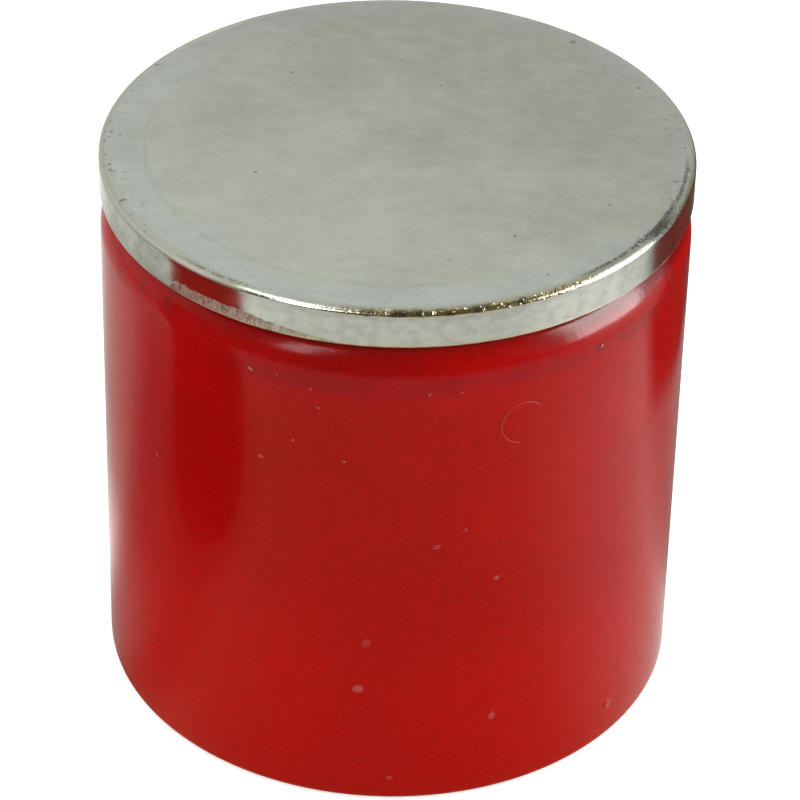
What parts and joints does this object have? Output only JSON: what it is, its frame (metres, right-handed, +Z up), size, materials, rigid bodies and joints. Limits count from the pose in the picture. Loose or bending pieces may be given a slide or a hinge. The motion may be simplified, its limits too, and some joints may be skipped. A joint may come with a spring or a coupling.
{
  "type": "deep pot magnet with keeper",
  "caption": "Deep cylindrical pot magnet in a red enamelled steel pot, with a flat plated steel keeper disc on its pole face and a tapped fixing hole in its base.",
  "frame": {"origin": "centre of the pot's flat base, on the surface that the magnet stands on", "axes": "+Z up the axis of the pot, from the base with its tapped hole to the pole face and the keeper; the part is round, so X and Y have no preferred direction"},
  "size_m": [0.027, 0.027, 0.0273],
  "materials": {
    "red_enamel": "gloss red enamel on turned mild steel",
    "alnico": "cast alnico, ground on the pole face",
    "sleeve_metal": "turned non-magnetic sleeve, ground on the pole face",
    "plated_steel": "bright plated mild steel, satin and lightly stained"
  },
  "bodies": {
    "root": {"pot": "red_enamel", "magnet_core": "alnico", "spacer_sleeve": "sleeve_metal", "keeper": "plated_steel"}
  },
  "joints": []
}
